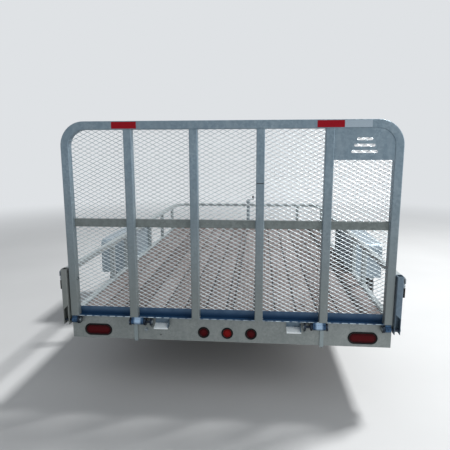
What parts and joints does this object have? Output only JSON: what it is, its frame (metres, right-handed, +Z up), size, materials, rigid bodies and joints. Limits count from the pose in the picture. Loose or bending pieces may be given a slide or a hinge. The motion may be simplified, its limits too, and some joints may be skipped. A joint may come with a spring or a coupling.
{
  "type": "utility trailer",
  "caption": "Single-axle landscape trailer with a plank deck, low rails, boxed fenders, a mesh ramp gate at the rear, an A-frame tongue and a crank jack.",
  "frame": {"origin": "on the ground, midway between the gate rests' rear edge and the coupler's nose, on the centreline", "axes": "+X to the trailer's right, +Y forward to the coupler, +Z up"},
  "size_m": [2.6, 4.9, 1.794],
  "materials": {
    "galvanised_steel": "satin",
    "gate_steel": "satin",
    "mesh_steel": "satin",
    "zinc_plated_steel": "satin",
    "spring_steel": "matte",
    "treated_pine": "matte",
    "grip_rubber": "matte",
    "red_lens": "gloss",
    "tyre_rubber": "matte"
  },
  "bodies": {
    "chassis": {"axle_beam": "galvanised_steel", "axle_clamps": "galvanised_steel", "coupler": "zinc_plated_steel", "coupler_lever": "zinc_plated_steel", "cross_members": "galvanised_steel", "deck_planks": "treated_pine", "fender_left": "galvanised_steel", "fender_right": "galvanised_steel", "front_channel": "galvanised_steel", "front_posts": "galvanised_steel", "front_rail": "galvanised_steel", "gate_rests": "galvanised_steel", "hinge_lugs": "galvanised_steel", "hinge_pins": "zinc_plated_steel", "jack_crank": "zinc_plated_steel", "jack_plate": "galvanised_steel", "jack_tube": "zinc_plated_steel", "lamp_grommets": "grip_rubber", "latch_grips": "grip_rubber", "latch_left": "zinc_plated_steel", "latch_right": "zinc_plated_steel", "leaf_spring_left": "spring_steel", "leaf_spring_right": "spring_steel", "rear_channel": "galvanised_steel", "rear_post_left": "galvanised_steel", "rear_post_right": "galvanised_steel", "side_beam_left": "galvanised_steel", "side_beam_right": "galvanised_steel", "side_posts_left": "galvanised_steel", "side_posts_right": "galvanised_steel", "side_tube_left": "galvanised_steel", "side_tube_right": "galvanised_steel", "spring_hangers": "galvanised_steel", "tail_lamps": "red_lens", "tongue_beam_left": "galvanised_steel", "tongue_beam_right": "galvanised_steel", "top_rail_left": "galvanised_steel", "top_rail_right": "galvanised_steel"},
    "gate": {"gate_frame": "gate_steel", "gate_uprights": "gate_steel", "gate_mid_bar": "gate_steel", "gate_bottom_bar": "gate_steel", "gate_mesh": "mesh_steel", "gate_corner_plate": "gate_steel", "gate_barrels": "gate_steel", "latch_bushes": "gate_steel"},
    "wheel_left": {"tyre_left": "tyre_rubber", "rim_left": "galvanised_steel", "hub_left": "zinc_plated_steel"},
    "wheel_right": {"tyre_right": "tyre_rubber", "rim_right": "galvanised_steel", "hub_right": "zinc_plated_steel"},
    "jack_leg": {"jack_leg": "zinc_plated_steel"}
  },
  "joints": [
    {"name": "ramp_gate", "type": "hinge", "parent": "chassis", "child": "gate", "pos_m": [0, -2.418, 0.533], "axis": [1, 0, 0], "range_deg": [0, 114.5]},
    {"name": "wheel_left_spin", "type": "hinge", "parent": "chassis", "child": "wheel_left", "pos_m": [-1.182, -0.705, 0.345], "axis": [1, 0, 0], "continuous": true},
    {"name": "wheel_right_spin", "type": "hinge", "parent": "chassis", "child": "wheel_right", "pos_m": [1.182, -0.705, 0.345], "axis": [1, 0, 0], "continuous": true},
    {"name": "jack_slide", "type": "slide", "parent": "chassis", "child": "jack_leg", "axis": [0, 0, 1], "range_m": [0, 0.25]}
  ]
}
